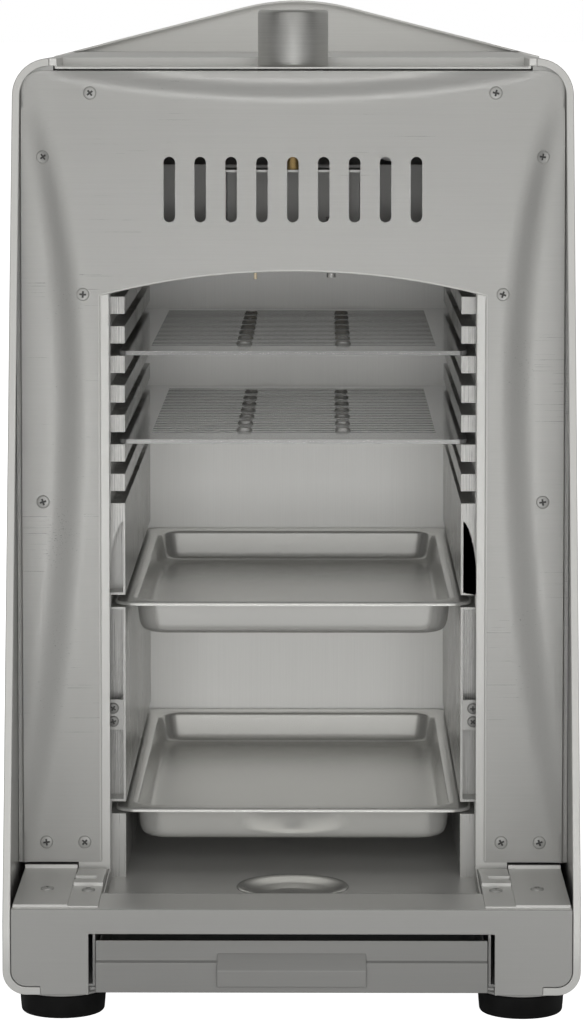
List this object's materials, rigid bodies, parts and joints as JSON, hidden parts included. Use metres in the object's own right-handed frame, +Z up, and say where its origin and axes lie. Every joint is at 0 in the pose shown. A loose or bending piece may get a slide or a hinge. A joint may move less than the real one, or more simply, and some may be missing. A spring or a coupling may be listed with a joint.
{
  "type": "tabletop overhead broiler",
  "caption": "Open-fronted brushed steel cabinet with a downward gas burner, slotted grates, pans, a drained floor and a drip drawer, standing on rubber feet.",
  "frame": {"origin": "on the table under the middle of the object's box", "axes": "+Z up, the open front faces -Y, +X to the right seen from the front"},
  "size_m": [0.29, 0.45, 0.5115],
  "materials": {
    "brushed_steel": "brushed",
    "inner_steel": "satin",
    "dark_steel": "matte",
    "bright_steel": "polished",
    "knob_steel": "turned",
    "rubber": "matte",
    "brass": "satin",
    "ceramic": "matte"
  },
  "bodies": {
    "cabinet": {"left_side_panel": "brushed_steel", "right_side_panel": "brushed_steel", "top_cover": "brushed_steel", "rear_panel": "brushed_steel", "fascia": "brushed_steel", "fascia_frame": "dark_steel", "left_front_post": "dark_steel", "right_front_post": "dark_steel", "base_front": "brushed_steel", "porch_plate": "brushed_steel", "base_pan": "dark_steel", "left_foot_bracket": "brushed_steel", "right_foot_bracket": "brushed_steel", "cavity_floor": "inner_steel", "floor_lips": "inner_steel", "floor_funnel": "brushed_steel", "left_rack": "inner_steel", "right_rack": "inner_steel", "back_liner": "inner_steel", "heat_shield": "dark_steel", "burner_box": "dark_steel", "plaque_frame": "dark_steel", "ceramic_plaques": "ceramic", "burner_screen": "dark_steel", "mixer_tube": "dark_steel", "gas_injector": "brass", "injector_pipe": "bright_steel", "gas_valve": "brass", "valve_bracket": "dark_steel", "gas_pipe": "bright_steel", "gas_inlet_fitting": "brass", "igniter_electrode": "ceramic", "thermocouple": "bright_steel", "valve_spring": "bright_steel", "left_drawer_rail": "dark_steel", "right_drawer_rail": "dark_steel", "rubber_feet": "rubber", "foot_cups": "brushed_steel", "foot_screws": "bright_steel", "foot_nuts": "bright_steel", "fascia_screws": "bright_steel", "bracket_screws": "bright_steel", "rack_brackets": "brushed_steel", "rack_screws": "bright_steel", "rear_screws": "bright_steel"},
    "upper_grate_body": {"upper_grate": "inner_steel"},
    "lower_grate_body": {"lower_grate": "inner_steel"},
    "upper_pan_body": {"upper_pan": "inner_steel"},
    "lower_pan_body": {"lower_pan": "inner_steel"},
    "drip_drawer": {"drawer_pan": "dark_steel", "drawer_front": "brushed_steel", "drawer_handle": "brushed_steel"},
    "push_collar": {"spring_collar": "bright_steel"},
    "gas_control": {"valve_stem": "bright_steel", "control_knob": "knob_steel"}
  },
  "joints": [
    {"name": "upper_grate_slide", "type": "slide", "parent": "cabinet", "child": "upper_grate_body", "axis": [0, -1, 0], "range_m": [0, 0.29]},
    {"name": "lower_grate_slide", "type": "slide", "parent": "cabinet", "child": "lower_grate_body", "axis": [0, -1, 0], "range_m": [0, 0.29]},
    {"name": "upper_pan_slide", "type": "slide", "parent": "cabinet", "child": "upper_pan_body", "axis": [0, -1, 0], "range_m": [0, 0.29]},
    {"name": "lower_pan_slide", "type": "slide", "parent": "cabinet", "child": "lower_pan_body", "axis": [0, -1, 0], "range_m": [0, 0.29]},
    {"name": "drip_drawer_slide", "type": "slide", "parent": "cabinet", "child": "drip_drawer", "axis": [0, -1, 0], "range_m": [0, 0.135]},
    {"name": "knob_push", "type": "slide", "parent": "cabinet", "child": "push_collar", "axis": [0, 0, -1], "range_m": [0, 0.003], "stiffness_N_per_m": 900, "springref_m": -0.002, "deforming": ["valve_spring"]},
    {"name": "knob_turn", "type": "hinge", "parent": "push_collar", "child": "gas_control", "pos_m": [0, -0.106, 0.49], "axis": [0, 0, 1], "range_deg": [0, 210]}
  ]
}
